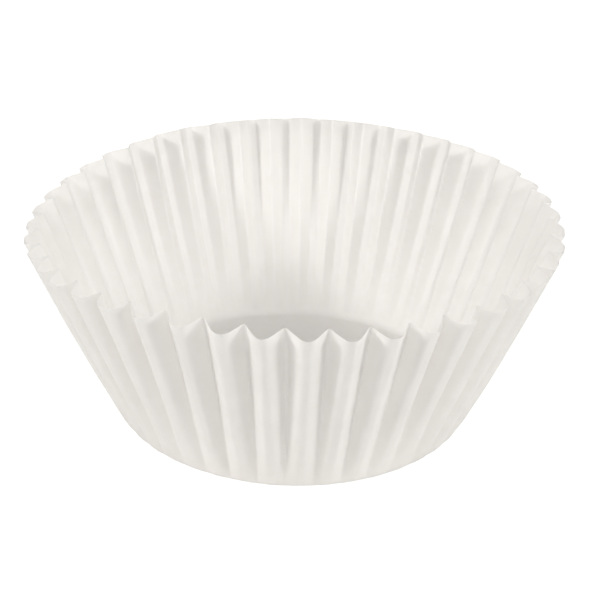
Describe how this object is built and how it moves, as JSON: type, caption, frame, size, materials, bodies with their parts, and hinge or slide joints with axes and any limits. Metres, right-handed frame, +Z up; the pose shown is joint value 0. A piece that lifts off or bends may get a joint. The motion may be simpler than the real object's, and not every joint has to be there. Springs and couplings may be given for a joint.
{
  "type": "cupcake liner",
  "caption": "Plain white fluted paper liner for baking one cupcake: a round flat floor and a leaning pleated wall with a toothed rim.",
  "frame": {"origin": "middle of the underside of the floor", "axes": "+Z up out of the open mouth, -Y towards the front, with one crease facing the front"},
  "size_m": [0.0748, 0.0748, 0.0292],
  "materials": {
    "paper": "matte"
  },
  "bodies": {
    "root": {"liner": "paper"}
  },
  "joints": []
}
